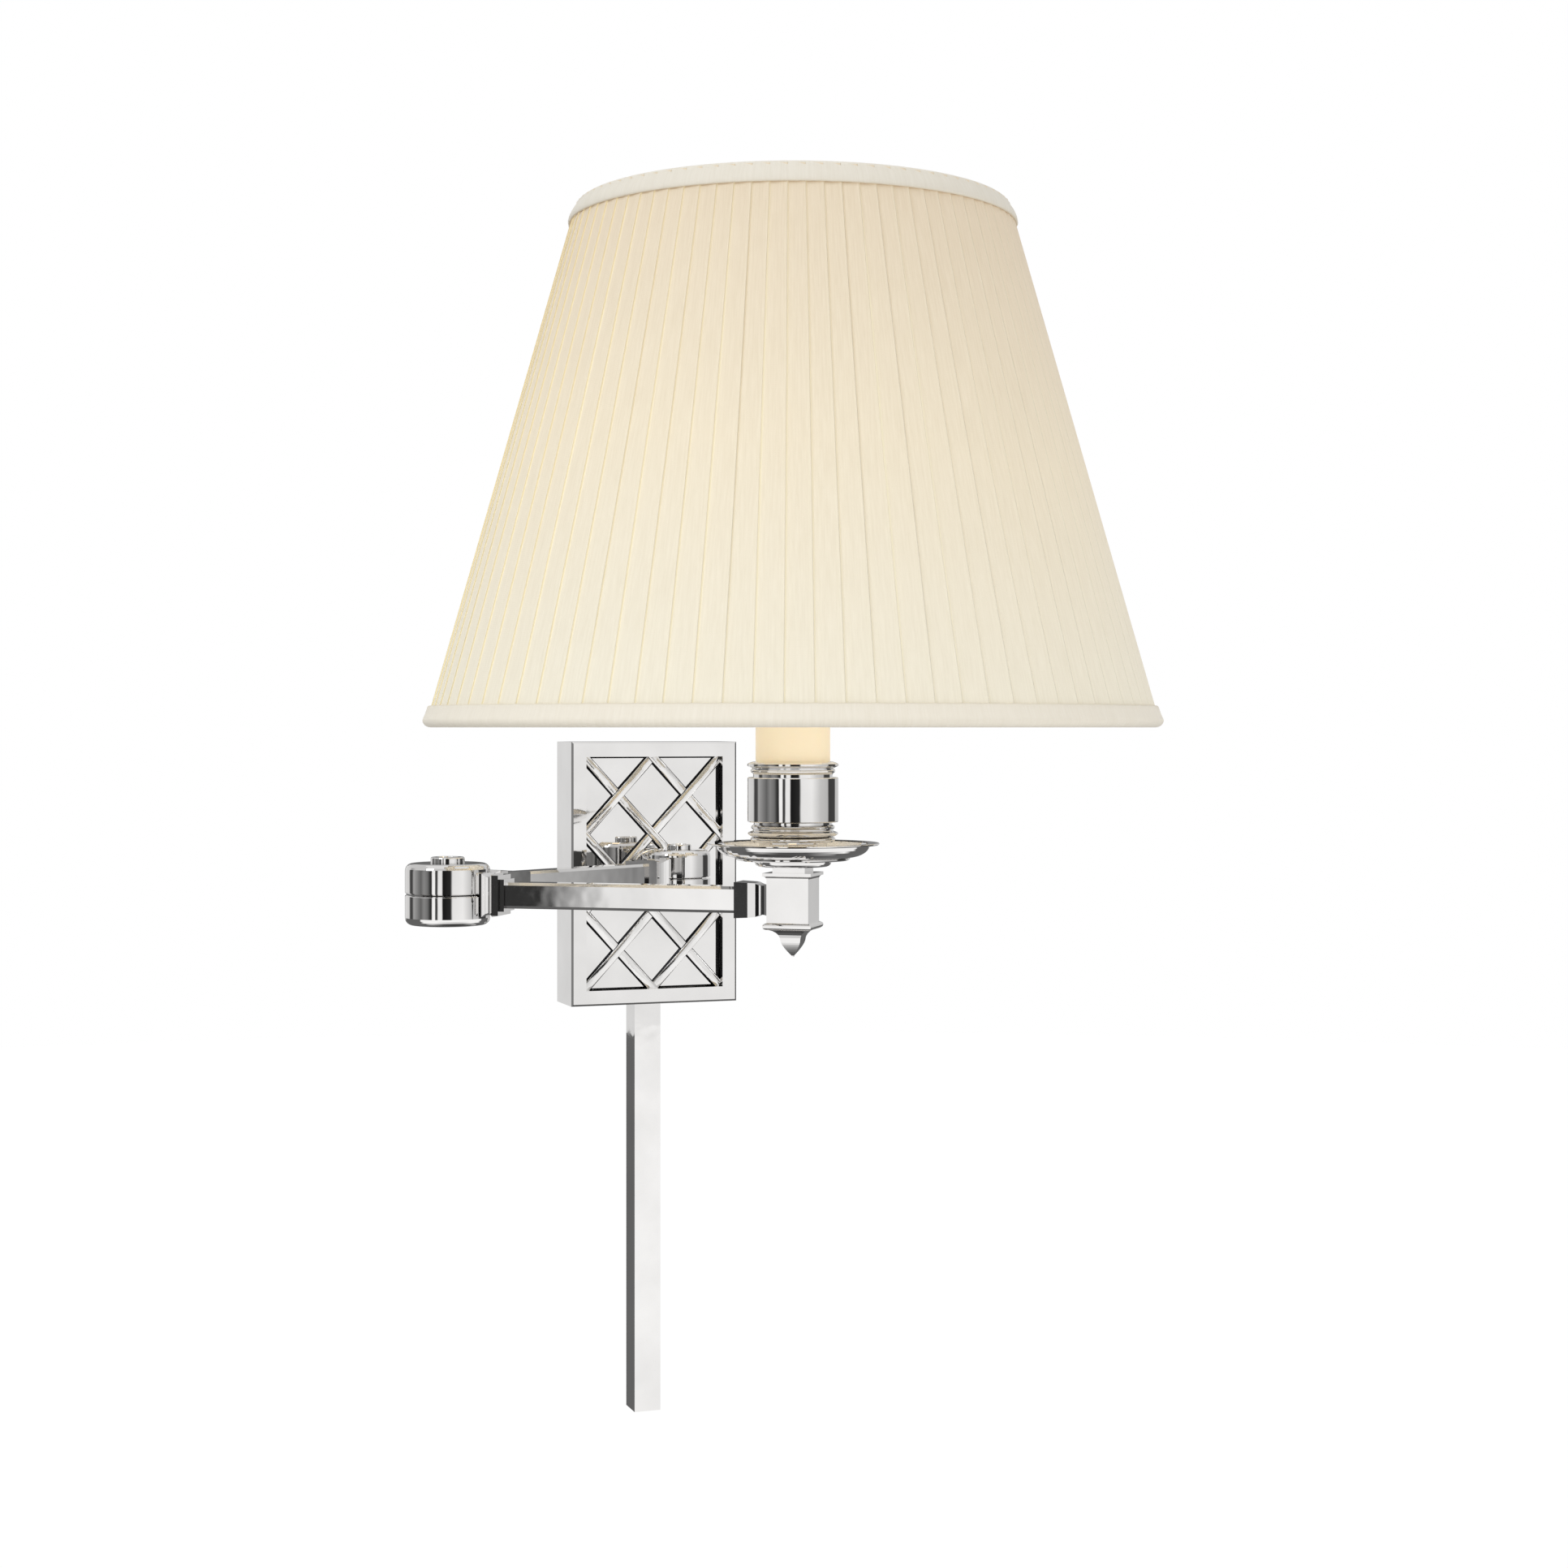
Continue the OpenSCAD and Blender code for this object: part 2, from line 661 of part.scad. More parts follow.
module candle_cup() color(nickel) at_lamp() {
    foot = ring_top + pan_t;
    inner = sleeve_r + sleeve_gap;
    bored(foot, cup_floor_z) turned(concat(
        [[0, foot], [16.2, foot], [15.2, foot + 1.5], [15.5, 26.3], [18.4, 26.3]],
        arc([18.2, 27.4], 0.9, -60, 60),
        [[17.6, 28.4], [18.8, 28.8], [cup_r - 0.7, 29.4], [cup_r - 0.1, 30], [cup_r - 0.5, 30.6]],
        [[18.2, 31.2], [17.9, 31.7]],
        arc([17.9, 32.8], 0.9, -70, 70),
        [[17.7, 34.0], [17.6, 35.1], [cup_r - 0.4, 35.2], [cup_r, 35.6]],
        [[cup_r, 54.8], [cup_r - 0.4, 55.2], [17.9, 55.3], [17.9, 56.6]],
        arc([18.1, 58.1], 0.95, -80, 80),
        [[18.4, 59.4], [19.3, 59.8], [cup_r + 0.1, 60.4], [cup_r + 0.1, 61.2], [19.4, 61.8], [18.2, cup_top]],
        [[inner, cup_top], [inner, cup_floor_z], [0, cup_floor_z]]
    ));
}

module cup_nut() color(brass) at_lamp() bored(cup_floor_z, cup_floor_z + nut_h)
    hex(nut_r, cup_floor_z, cup_floor_z + nut_h);

module centre_nipple() color(brass) at_lamp() tube(nipple_r, nipple_bore, block_bottom + 3, cap_z + 4);

module candle_sleeve() color(cream) at_lamp() difference() {
    tube(sleeve_r, sleeve_r - sleeve_t, cup_floor_z, sleeve_top);
    switch_hole(stem_r + 0.5);
}

module switch_hole(r) translate([0, 0, switch_z]) rotate([0, 90, 0]) cylinder(r = r, h = sleeve_r + cut);

module socket_cap() color(brass) at_lamp() bored(cap_z, cap_z + 2)
    turned([
        [0, cap_z], [9, cap_z], [13.5, cap_z + 3], [shell_r - 0.3, cap_z + 6], [shell_r - 0.3, core_z - 0.5],
        [shell_r - 1.1, core_z - 0.5], [shell_r - 1.1, cap_z + 6.4], [12.8, cap_z + 4],
        [8.6, cap_z + 2], [0, cap_z + 2]
    ]);

module socket_shell() color(brass) at_lamp() difference() {
    tube(shell_r, shell_r - shell_t, core_z - 0.4, shell_top);
    switch_hole(stem_r + 0.4);
}

module socket_liner() color([0.35, 0.25, 0.16]) at_lamp() difference() {
    tube(liner_r, liner_r - liner_t, core_z, shell_top - 2);
    switch_hole(stem_r + 0.4);
}

module socket_core() color(black) at_lamp() difference() {
    translate([0, 0, core_z]) cylinder(r = core_r, h = core_top - core_z);
    switch_hole(stem_r + run_gap);
    for (s = [-1, 1]) translate([0, s * 9, core_z - cut]) cylinder(r = 1.3, h = 5);
}

module socket_screw_shell() color(brass) at_lamp()
    tube(screw_shell_r, screw_shell_r - screw_shell_t, core_top, shell_top - 4);

module centre_contact() color(brass) at_lamp() {
    translate([-3, -3, core_top]) cube([6, 6, contact_z - core_top]);
    translate([0, 0, contact_z]) cylinder(r = 2.5, h = 1);
}

module lamp_wires() color(white) at_lamp() {
    translate([-arm_len, 0, 0]) lead_pair(elbow_step - 4, arm_len - block_w / 2 + 3);
    for (s = [-1, 1]) translate([0, s * 1.4, block_bottom + 4])
        cylinder(r = 1.1, h = cap_z - block_bottom, $fn = 24);
}

module bulb_base() color(steel) at_lamp() turned(concat(
    [[0, contact_z + 1], [2.4, contact_z + 1.2], [4.5, contact_z + 2.2], [9, bulb_base_z[0] + 0.4]],
    [for (i = [0 : 15]) [bulb_base_r - (i % 2 == 0 ? 1 : 0), bulb_base_z[0] + 1.5 + i * 1.4]],
    [[bulb_base_r - 0.6, bulb_base_z[1]], [0, bulb_base_z[1]]]
));

// outline of the glass, drawn in by the thickness t
function glass(t) = concat(
    [[bulb_neck_r - t, bulb_base_z[1] + t], [bulb_neck_r - t + 0.2, 165]],
    [for (i = [1 : 6]) let (s = i / 6)
        [bulb_neck_r - t + (bulb_r - bulb_neck_r) * (1 - cos(90 * s)) * 0.86, 165 + (bulb_centre_z - 174) * s]],
    [for (a = [-10 : 10 : 80]) [(bulb_r - t) * cos(a), bulb_centre_z + (bulb_r - t) * sin(a)]],
    [[0, bulb_centre_z + bulb_r - t]]
);

module bulb_glass() color([1, 0.95, 0.85, 0.6]) at_lamp() difference() {
    turned(concat([[0, bulb_base_z[1]]], glass(0)));
    turned(concat([[0, bulb_base_z[1] + glass_t]], glass(glass_t)));
}

// ---- shade ----

// a straight wire from [radius, z] to [radius, z] in the plane y = 0
module wire(from, to, r) {
    run = to[0] - from[0];
    rise = to[1] - from[1];
    translate([from[0], 0, from[1]]) rotate([0, atan2(run, rise), 0])
        cylinder(r = r, h = sqrt(run * run + rise * rise), $fn = 24);
}

module shade_fitter() color(steel) at_lamp() {
    tube(fitter_r, shell_r + face_gap, fitter_z, fitter_z + fitter_t);
    for (i = [0 : spoke_count - 1]) rotate([0, 0, spoke_turn + i * 360 / spoke_count])
        wire([fitter_r - 1.2, fitter_z + 1.2], [shade_r(spoke_end_z) - wire_in - 2.4, spoke_end_z], spoke_r);
}

module shade_clamp_ring() color(white) at_lamp() difference() {
    z0 = fitter_z + fitter_t;
    turned(concat(
        [[0, z0], [clamp_ring_r - 2.6, z0]],
        [[clamp_ring_r - 2.6, z0 + clamp_ring_h - 1], [clamp_ring_r - 3.4, z0 + clamp_ring_h]],
        [[0, z0 + clamp_ring_h]]
    ));
    translate([0, 0, z0 - cut]) cylinder(r = shell_r + fixed_gap, h = clamp_ring_h + 2 * cut);
    for (i = [0 : 5]) rotate([0, 0, 30 + spoke_turn + i * 60]) translate([clamp_ring_r - 2.4, 0, z0 - cut])
        cylinder(r = 1.2, h = clamp_ring_h + 2 * cut, $fn = 24);
}

module wire_ring(z) rotate_extrude() translate([shade_r(z) - wire_in, z]) circle(r = wire_r, $fn = 24);

module shade_frame() color(steel) at_lamp() {
    wire_ring(wire_low_z);
    wire_ring(wire_high_z);
    foot = [shade_r(wire_low_z) - wire_in, wire_low_z];
    head = [shade_r(wire_high_z) - wire_in, wire_high_z];
    for (i = [0 : rib_count - 1]) rotate([0, 0, spoke_turn + i * 360 / rib_count])
        wire(foot, head, wire_r * 0.9);
}

// a cone of cloth between two heights, from d_out to d_in inside the fabric's outer face
module cone_skin(z0, z1, d_out, d_in) turned([
    [shade_r(z0) - d_in, z0], [shade_r(z0) - d_out, z0], [shade_r(z1) - d_out, z1], [shade_r(z1) - d_in, z1]
]);

module shade_cover() color(ivory) at_lamp()
    cone_skin(shade_z + band_t + 0.2, shade_top_z - band_t - 0.2, 0, fabric_t);

module shade_liner() color(white) at_lamp()
    cone_skin(shade_z + band_t + 0.2, shade_top_z - band_t - 0.2, liner_in, liner_in + shade_liner_t);

// a rolled band round an edge: z0 is its open side, z1 the edge, up is 1 for the bottom band
module rolled_band(z0, z1, up, proud) turned([
    [shade_r(z0) + 0.2, z0], [shade_r(z0) + 0.9, z0], [shade_r(z0) + band_out, z0 - up * 0.9],
    [shade_r(z1) + proud, z1 + up * 1.1], [shade_r(z1) + proud - 1, z1],
    [shade_r(z1) - band_in + 0.6, z1], [shade_r(z1) - band_in, z1 + up * 0.8],
    [shade_r(z0) - band_in, z0], [shade_r(z0) - band_in + band_t * 0.8, z0],
    [shade_r(z1 + up * band_t) - band_in + band_t * 0.8, z1 + up * band_t],
    [shade_r(z1 + up * band_t) + 0.2, z1 + up * band_t]
]);

module shade_trim_bottom() color(ivory) at_lamp() rolled_band(shade_z + trim_h, shade_z, 1, 0.5);

module shade_trim_top() color(ivory) at_lamp() rolled_band(shade_top_z - trim_h, shade_top_z, -1, band_out);

// ---- switch ----

module switch_stem() color(brass) at_lamp() translate([stem_in, 0, switch_z]) rotate([0, 90, 0])
    cylinder(r = stem_r, h = stem_out - stem_in);

module switch_knob() color(black) at_lamp() translate([0, 0, switch_z]) difference() {
    union() {
        translate([knob_in, 0, 0]) rotate([0, 90, 0]) cylinder(r = knob_hub_r, h = knob_out - knob_in - 4);
        intersection() {
            translate([knob_out - knob_wing[0], -knob_wing[1] / 2, -knob_wing[2] / 2]) cube(knob_wing);
            translate([knob_out - knob_wing[0] / 2 - 2, 0, 0]) along_y()
                cylinder(r = knob_wing[2] / 2, h = knob_wing[1] + cut, center = true);
        }
    }
    translate([knob_in - cut, 0, 0]) rotate([0, 90, 0])
        cylinder(r = stem_r + fixed_gap, h = stem_out - knob_in + cut + fixed_gap);
}

mounting_crossbar();
plate_screws();
ground_screw();
back_plate();
lattice_panel();
neck_nipple();
neck_nut();
wall_knuckle();
wall_pivot_tube();
wall_pivot_washer();
wall_pivot_cap();
wire_connectors();
plate_wires();
cord_cover();
cord_cover_clips();
rear_arm_knuckle();
rear_arm_bar();
rear_arm_elbow();
elbow_pivot_tube();
elbow_pivot_washer();
elbow_pivot_cap();
rear_arm_wires();
front_arm_knuckle();
front_arm_bar();
front_arm_collar();
lamp_block();
block_cap();
finial();
pan_boss();
pan_ring();
drip_pan();
candle_cup();
cup_nut();
centre_nipple();
candle_sleeve();
socket_cap();
socket_shell();
socket_liner();
socket_core();
socket_screw_shell();
centre_contact();
lamp_wires();
bulb_base();
bulb_glass();
shade_fitter();
shade_clamp_ring();
shade_frame();
shade_liner();
shade_cover();
shade_trim_bottom();
shade_trim_top();
switch_stem();
switch_knob();
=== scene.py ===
"""Swing arm wall sconce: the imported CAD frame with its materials, and the pleated shade in cloth."""
import json
import math
import random

import bmesh
import bpy
from mathutils import Matrix, Vector

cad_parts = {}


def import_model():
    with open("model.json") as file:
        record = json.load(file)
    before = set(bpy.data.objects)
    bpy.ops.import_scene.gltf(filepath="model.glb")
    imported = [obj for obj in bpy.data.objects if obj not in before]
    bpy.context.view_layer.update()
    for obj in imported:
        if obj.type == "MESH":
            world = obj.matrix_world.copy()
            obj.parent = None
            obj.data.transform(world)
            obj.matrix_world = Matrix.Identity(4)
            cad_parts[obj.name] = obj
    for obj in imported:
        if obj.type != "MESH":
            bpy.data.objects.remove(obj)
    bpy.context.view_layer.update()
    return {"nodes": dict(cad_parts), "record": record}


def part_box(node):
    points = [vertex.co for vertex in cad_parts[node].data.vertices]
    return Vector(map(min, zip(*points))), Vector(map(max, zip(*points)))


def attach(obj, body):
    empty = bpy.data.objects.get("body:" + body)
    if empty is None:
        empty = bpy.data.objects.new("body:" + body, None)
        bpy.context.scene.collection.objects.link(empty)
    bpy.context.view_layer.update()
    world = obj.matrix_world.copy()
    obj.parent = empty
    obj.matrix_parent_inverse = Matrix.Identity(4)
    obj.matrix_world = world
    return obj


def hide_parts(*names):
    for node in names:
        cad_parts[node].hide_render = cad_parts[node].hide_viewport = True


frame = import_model()
MM = 0.001
random.seed(7)


def middle(node):
    """The centre of a CAD node's box."""
    low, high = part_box(node)
    return (Vector(low) + Vector(high)) / 2


# ---- the shade's cone, from the CAD cover's box ----
COVER_LOW, COVER_HIGH = (Vector(v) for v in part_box("shade_cover"))
LAMP = middle("shade_cover")
COVER_Z = (COVER_LOW.z, COVER_HIGH.z)
EDGE_Z = (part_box("shade_trim_bottom")[0][2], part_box("shade_trim_top")[1][2])
BOTTOM_R = (COVER_HIGH.x - COVER_LOW.x) / 2
TRIM_HIGH = Vector(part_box("shade_trim_top")[1])
TOP_BAND_LOW_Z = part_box("shade_trim_top")[0][2]
BOTTOM_BAND_TOP_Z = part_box("shade_trim_bottom")[1][2]
# the CAD bands are widest by this much, this far in from their open sides
BAND_PROUD = 1.5 * MM
BAND_ROUND = 0.9 * MM
TOP_R = TRIM_HIGH.x - LAMP.x - BAND_PROUD
SLOPE = (BOTTOM_R - TOP_R) / (TOP_BAND_LOW_Z + BAND_ROUND - COVER_Z[0])


def cone_r(z):
    """Radius of the fabric's outer face at a height."""
    return BOTTOM_R - SLOPE * (z - COVER_Z[0])


# ---- camera ----
VIEW_AZIMUTH = math.radians(-20)
VIEW_DISTANCE = 1.144
VIEW_ASIDE = 0.004
EYE_LEVEL = 0.0777
LENS_MM = 58.45
SENSOR_MM = 36
SHIFT_UP = -0.0362
right = Vector((math.cos(VIEW_AZIMUTH), math.sin(VIEW_AZIMUTH), 0))
ahead = Vector((-math.sin(VIEW_AZIMUTH), math.cos(VIEW_AZIMUTH), 0))
camera = bpy.data.objects.new("camera", bpy.data.cameras.new("camera"))
bpy.context.scene.collection.objects.link(camera)
bpy.context.scene.camera = camera
camera.data.sensor_width = SENSOR_MM
camera.data.lens = LENS_MM
camera.data.shift_y = SHIFT_UP
camera.data.clip_start = 0.05
place = Vector((LAMP.x, LAMP.y, 0)) - ahead * VIEW_DISTANCE - right * VIEW_ASIDE
camera.location = (place.x, place.y, EYE_LEVEL)
camera.rotation_euler = (math.radians(90), 0, VIEW_AZIMUTH)
bpy.context.scene.view_settings.view_transform = "Standard"


# ---- node helpers ----
class Shader:
    """A material's node tree, with short calls for the nodes used here."""

    def __init__(self, name):
        self.material = bpy.data.materials.new(name)
        self.material.use_nodes = True
        self.nodes = self.material.node_tree.nodes
        self.links = self.material.node_tree.links
        self.bsdf = self.nodes["Principled BSDF"]
        self.coords = self.nodes.new("ShaderNodeTexCoord").outputs["Object"]

    def set(self, **values):
        for key, value in values.items():
            self.bsdf.inputs[key.replace("_", " ")].default_value = value

    def link(self, output, key):
        self.links.new(output, self.bsdf.inputs[key])

    def scaled(self, scale, source=None):
        """Coordinates stretched by a scale for each axis."""
        node = self.nodes.new("ShaderNodeMapping")
        node.inputs["Scale"].default_value = scale
        self.links.new(source or self.coords, node.inputs["Vector"])
        return node.outputs["Vector"]

    def noise(self, scale, detail=3.0, source=None, rough=0.5):
        node = self.nodes.new("ShaderNodeTexNoise")
        node.inputs["Scale"].default_value = scale
        node.inputs["Detail"].default_value = detail
        node.inputs["Roughness"].default_value = rough
        self.links.new(source or self.coords, node.inputs["Vector"])
        return node.outputs["Fac"]

    def wave(self, scale, source=None, direction="X", distortion=0.0):
        node = self.nodes.new("ShaderNodeTexWave")
        node.bands_direction = direction
        node.inputs["Scale"].default_value = scale
        node.inputs["Distortion"].default_value = distortion
        self.links.new(source or self.coords, node.inputs["Vector"])
        return node.outputs["Fac"]

    def ramp(self, source, stops):
        """A colour ramp from a list of (position, colour or grey)."""
        node = self.nodes.new("ShaderNodeValToRGB")
        elements = node.color_ramp.elements
        while len(elements) < len(stops):
            elements.new(0.5)
        for element, (position, colour) in zip(elements, stops):
            element.position = position
            grey = isinstance(colour, (int, float))
            element.color = (colour, colour, colour, 1) if grey else (*colour, 1)
        self.links.new(source, node.inputs["Fac"])
        return node.outputs["Color"]

    def math(self, kind, a, b):
        node = self.nodes.new("ShaderNodeMath")
        node.operation = kind
        for socket, value in zip(node.inputs, (a, b)):
            if isinstance(value, (int, float)):
                socket.default_value = value
            else:
                self.links.new(value, socket)
        return node.outputs[0]

    def mix(self, factor, a, b, blend="MIX"):
        node = self.nodes.new("ShaderNodeMix")
        node.data_type = "RGBA"
        node.blend_type = blend
        for socket, value in ((node.inputs[0], factor), (node.inputs[6], a), (node.inputs[7], b)):
            if isinstance(value, tuple):
                socket.default_value = (*value, 1)
            elif isinstance(value, (int, float)):
                socket.default_value = value
            else:
                self.links.new(value, socket)
        return node.outputs[2]

    def height(self, low, high):
        """0 to 1 between two heights of the object at rest."""
        split = self.nodes.new("ShaderNodeSeparateXYZ")
        self.links.new(self.coords, split.inputs[0])
        node = self.nodes.new("ShaderNodeMapRange")
        node.inputs["From Min"].default_value = low
        node.inputs["From Max"].default_value = high
        self.links.new(split.outputs["Z"], node.inputs["Value"])
        return node.outputs["Result"]

    def attribute(self, name):
        node = self.nodes.new("ShaderNodeAttribute")
        node.attribute_name = name
        return node.outputs["Fac"]

    def bump(self, height, strength, distance):
        node = self.nodes.new("ShaderNodeBump")
        node.inputs["Strength"].default_value = strength
        node.inputs["Distance"].default_value = distance
        self.links.new(height, node.inputs["Height"])
        self.links.new(node.outputs["Normal"], self.bsdf.inputs["Normal"])


# ---- materials ----
def nickel(name, wave_height=0.00006, rough=(0.02, 0.045)):
    """Polished nickel: faint waves from buffing, and a roughness that wanders a little."""
    s = Shader(name)
    s.set(Metallic=1.0)
    tint = s.noise(35, 4)
    s.link(s.ramp(tint, [(0.3, (0.74, 0.73, 0.72)), (0.7, (0.82, 0.81, 0.80))]), "Base Color")
    s.link(s.ramp(s.noise(420, 5, rough=0.65), [(0.35, rough[0]), (0.75, rough[1])]), "Roughness")
    s.bump(s.noise(55, 2), 1.0, wave_height)
    return s.material


def cast_nickel(name):
    """Plated casting for the lattice: a fine orange-peel skin, painted shade beside the straps and round
    the recess, and dark smudges.
    """
    s = Shader(name)
    s.set(Metallic=1.0)
    plain = s.ramp(s.noise(60, 4), [(0.3, (0.68, 0.67, 0.66)), (0.7, (0.82, 0.81, 0.80))])
    # the edge lines are painted shade, heaviest on the straps' left sides; the noise adds random dark
    # smudges
    strap_shade_and_smudges = s.math("ADD", s.attribute("edge"), s.math("MULTIPLY", s.noise(260, 3), 0.5))
    shade_and_smudge_mask = s.ramp(strap_shade_and_smudges, [(0.62, 0.0), (0.92, 1.0)])
    s.link(s.mix(shade_and_smudge_mask, plain, (0.012, 0.012, 0.013)), "Base Color")
    s.link(s.ramp(s.noise(300, 4), [(0.3, 0.06), (0.8, 0.15)]), "Roughness")
    s.bump(s.noise(240, 3), 1.0, 0.00010)
    return s.material


def metal(name, dark, light, rough, grain=900):
    """A plain metal with a fine drawn or machined grain along Z."""
    s = Shader(name)
    s.set(Metallic=1.0)
    lines = s.noise(grain, 2, s.scaled((1, 1, 0.04)))
    s.link(s.ramp(lines, [(0.3, dark), (0.7, light)]), "Base Color")
    s.link(s.ramp(s.noise(200, 3), [(0.3, rough[0]), (0.7, rough[1])]), "Roughness")
    s.bump(lines, 0.6, 0.00003)
    return s.material


def plastic(name, dark, light, rough, peel=0.00003):
    """Moulded plastic with a slight mottle and a fine skin."""
    s = Shader(name)
    s.link(s.ramp(s.noise(40, 4), [(0.3, dark), (0.7, light)]), "Base Color")
    s.link(s.ramp(s.noise(500, 3), [(0.3, rough[0]), (0.7, rough[1])]), "Roughness")
    s.bump(s.noise(700, 2), 0.7, peel)
    return s.material


def candle_plastic(name):
    """Cream sleeve with faint drips of tone down its length, and a painted glow for the lamp's light
    from above.
    """
    s = Shader(name)
    tone = s.noise(60, 4, s.scaled((1, 1, 0.15)))
    s.link(s.ramp(tone, [(0.25, (0.88, 0.745, 0.54)), (0.75, (0.91, 0.785, 0.59))]), "Base Color")
    s.link(s.ramp(s.noise(300, 3), [(0.3, 0.34), (0.7, 0.46)]), "Roughness")
    s.set(Subsurface_Weight=0.15, Subsurface_Scale=0.004)
    # painted glow: emission standing in for the lamp's light on the sleeve
    s.set(Emission_Color=(1.0, 0.88, 0.58, 1), Emission_Strength=0.27)
    s.bump(s.noise(260, 3), 0.5, 0.00004)
    return s.material


def lit_glass(name):
    """Frosted bulb glass, lit."""
    s = Shader(name)
    s.link(s.ramp(s.noise(90, 3), [(0.3, (0.95, 0.90, 0.80)), (0.7, (1.0, 0.96, 0.88))]), "Base Color")
    s.link(s.ramp(s.noise(400, 3), [(0.3, 0.25), (0.7, 0.4)]), "Roughness")
    s.set(Emission_Color=(1.0, 0.80, 0.52, 1), Emission_Strength=1.7)
    s.bump(s.noise(600, 2), 0.4, 0.00003)
    return s.material


# in a fold or seam the glow is the cloth's middle glow times its colour there times this
FOLD_GLOW = (1.75, 2.1, 2.8)


def cloth(name, dark, light, glow, fold):
    """Woven cloth on UVs in metres: slubs along the thread, warp and weft, sheen, and the lamp's glow
    painted in as emission.
    glow is a list of (height share, colour) of that painted glow from the shade's bottom edge to its
    top.
    fold is the colour in its folds and along its seams, where painted shade and painted glow go."""
    s = Shader(name)
    uv = s.nodes.new("ShaderNodeTexCoord").outputs["UV"]
    slub = s.noise(1.0, 5, s.scaled((900, 60, 1), uv), 0.6)
    mottle = s.noise(28, 3)
    colour = s.ramp(slub, [(0.3, dark), (0.7, light)])
    colour = s.mix(s.ramp(mottle, [(0.35, 0.0), (0.75, 0.25)]), colour, light)
    # painted lamp glow: a ramp by height with random patches in it
    patches = s.noise(7, 2, s.scaled((1, 1, 0.4)))
    drift = s.math("MULTIPLY", s.math("SUBTRACT", patches, 0.5), 0.25)
    shine = s.ramp(s.math("ADD", s.height(*COVER_Z), drift), glow)
    # folds and seams get painted shade in their colour and painted glow in the emission
    seam = s.attribute("fold")
    colour = s.mix(seam, colour, fold)
    shine = s.mix(seam, shine, tuple(a * b * c for a, b, c in zip(FOLD_GLOW, glow[1][1], fold)))
    s.link(colour, "Base Color")
    s.link(shine, "Emission Color")
    s.set(Emission_Strength=0.95, Sheen_Weight=0.2, Sheen_Roughness=0.5)
    s.link(s.ramp(slub, [(0.3, 0.72), (0.7, 0.9)]), "Roughness")
    weave = s.math("MULTIPLY", s.wave(560, uv, "X", 1.5), s.wave(520, uv, "Y", 1.5))
    s.bump(s.math("ADD", weave, slub), 0.4, 0.00006)
    return s.material


SLOT_MATERIAL = {
    "nickel": nickel("nickel"),
    "steel": metal("steel", (0.50, 0.51, 0.53), (0.66, 0.67, 0.69), (0.22, 0.36)),
    "brass": metal("brass", (0.62, 0.46, 0.20), (0.80, 0.62, 0.30), (0.20, 0.34)),
    "green_screw": metal("green_screw", (0.05, 0.28, 0.10), (0.10, 0.42, 0.18), (0.25, 0.4)),
    "candle_plastic": candle_plastic("candle_plastic"),
    "white_plastic": plastic("white_plastic", (0.82, 0.81, 0.78), (0.90, 0.89, 0.86), (0.3, 0.45)),
    "black_plastic": plastic("black_plastic", (0.012, 0.011, 0.010), (0.03, 0.028, 0.026),
                             (0.14, 0.26)),
    "liner_card": plastic("liner_card", (0.20, 0.12, 0.06), (0.34, 0.22, 0.13), (0.6, 0.8), 0.0001),
    "wire_pvc": plastic("wire_pvc", (0.80, 0.80, 0.78), (0.90, 0.90, 0.88), (0.35, 0.5)),
    "bulb_glass": lit_glass("bulb_glass"),
    "shade_fabric": cloth("shade_fabric", (0.68, 0.61, 0.47), (0.75, 0.685, 0.55),
                          [(0.0, (0.22, 0.225, 0.205)), (0.5, (0.215, 0.175, 0.12)),
                           (1.0, (0.11, 0.05, 0.01))],
                          (0.78, 0.73, 0.57)),
    "shade_lining": cloth("shade_lining", (0.86, 0.84, 0.79), (0.92, 0.90, 0.86),
                          [(0.0, (0.10, 0.085, 0.06)), (0.5, (0.13, 0.11, 0.075)),
                           (1.0, (0.10, 0.08, 0.05))],
                          (0.76, 0.70, 0.60)),
    "shade_band": cloth("shade_band", (0.80, 0.745, 0.635), (0.85, 0.80, 0.70),
                        [(0.0, (0.09, 0.08, 0.06)), (0.5, (0.05, 0.04, 0.03)), (1.0, (0.0, 0.0, 0.0))],
                        (0.62, 0.55, 0.42)),
}
LATTICE_METAL = cast_nickel("cast_nickel")


def dress(piece, material):
    piece.data.materials.clear()
    piece.data.materials.append(material)


for row in frame["record"]["subparts"]:
    dress(frame["nodes"][row["node"]], SLOT_MATERIAL[row["material_slot"]])
dress(frame["nodes"]["lattice_panel"], LATTICE_METAL)


